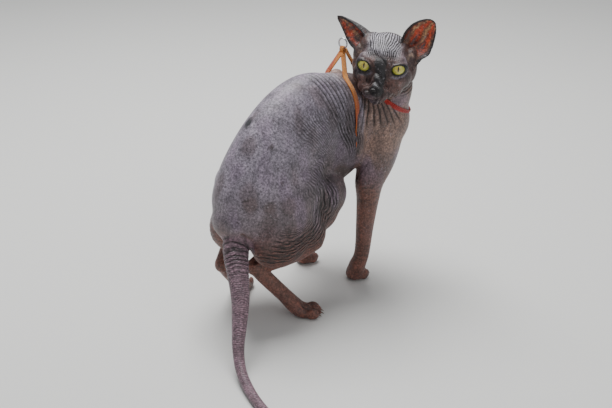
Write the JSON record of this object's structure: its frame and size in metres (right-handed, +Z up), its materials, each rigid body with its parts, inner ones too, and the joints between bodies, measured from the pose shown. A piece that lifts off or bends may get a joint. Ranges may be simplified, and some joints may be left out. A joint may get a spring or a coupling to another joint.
{
  "type": "sphynx cat",
  "caption": "A hairless cat, life size, crouched with an arched back, long tail on the floor and head turned back over its shoulder, in a strap harness with no lead",
  "frame": {"origin": "on the floor, under the middle of the whole cat's outline from above", "axes": "+Z up, +Y toward the cat's chest along its body, +X toward the cat's right side"},
  "size_m": [0.2614, 0.3842, 0.3354],
  "materials": {
    "skin": "bare wrinkled skin, grey mauve with fine pale speckles",
    "ear": "thin bare skin, dark at the rim and orange red inside",
    "eye": "wet and clear over a yellow green iris",
    "leg": "bare wrinkled skin, reddish brown",
    "tail": "bare ringed skin, purple brown",
    "strap": "smooth orange strap with darker edges",
    "ring": "bright plated wire"
  },
  "bodies": {
    "root": {"torso": "skin", "neck": "skin", "head": "skin", "ear_right": "ear", "ear_left": "ear", "eye_right": "eye", "eye_left": "eye", "leg_front_right": "leg", "leg_front_left": "leg", "leg_hind_right": "leg", "leg_hind_left": "leg", "tail_base": "tail", "tail_middle": "tail", "tail_tip": "tail", "harness_girth": "strap", "harness_collar": "strap", "harness_neck_strap": "strap", "harness_ring": "ring"}
  },
  "joints": []
}
